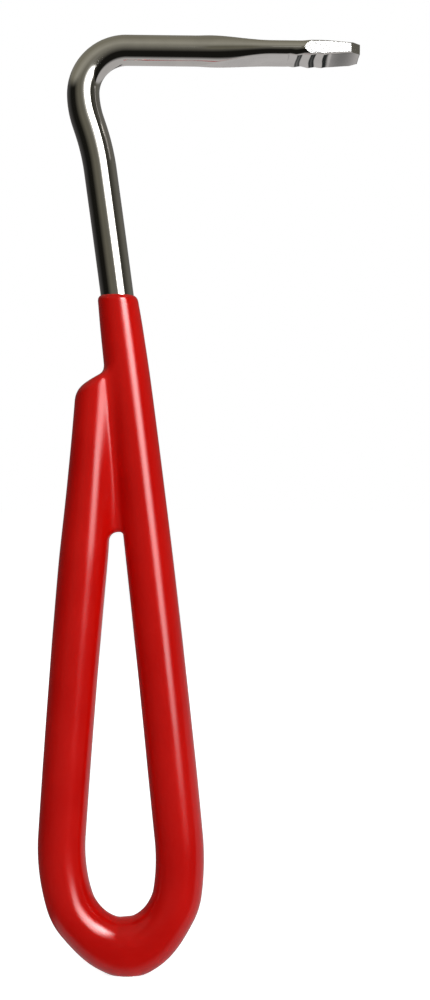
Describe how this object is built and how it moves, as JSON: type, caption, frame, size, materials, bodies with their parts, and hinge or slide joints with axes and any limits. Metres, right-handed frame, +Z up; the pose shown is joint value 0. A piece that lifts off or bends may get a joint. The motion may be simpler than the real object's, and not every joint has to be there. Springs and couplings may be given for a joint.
{
  "type": "hoof pick",
  "caption": "Hand hoof pick: plated steel rod bent into a teardrop hanging loop, a neck and a crook that ends in a flattened blade, with a dipped red vinyl grip over the loop.",
  "frame": {"origin": "the small flat at the lowest point of the grip's loop, in the middle plane of the bent rod", "axes": "+Z up along the handle towards the crook, +X towards the blade's tip, +Y away from the viewer, across the rod's plane"},
  "size_m": [0.0618, 0.0098, 0.1812],
  "materials": {
    "plated_steel": "bright nickel plating over drawn mild steel, faint draw lines, fine handling scratches, ripples on the pressed blade",
    "weld_steel": "plated over the as-welded bead, hidden under the vinyl",
    "red_vinyl": "glossy dipped PVC plastisol, smooth with slight waviness, thicker towards the loop's end"
  },
  "bodies": {
    "root": {"pick_rod": "plated_steel", "weld_bead_front": "weld_steel", "weld_bead_back": "weld_steel", "vinyl_grip": "red_vinyl"}
  },
  "joints": []
}
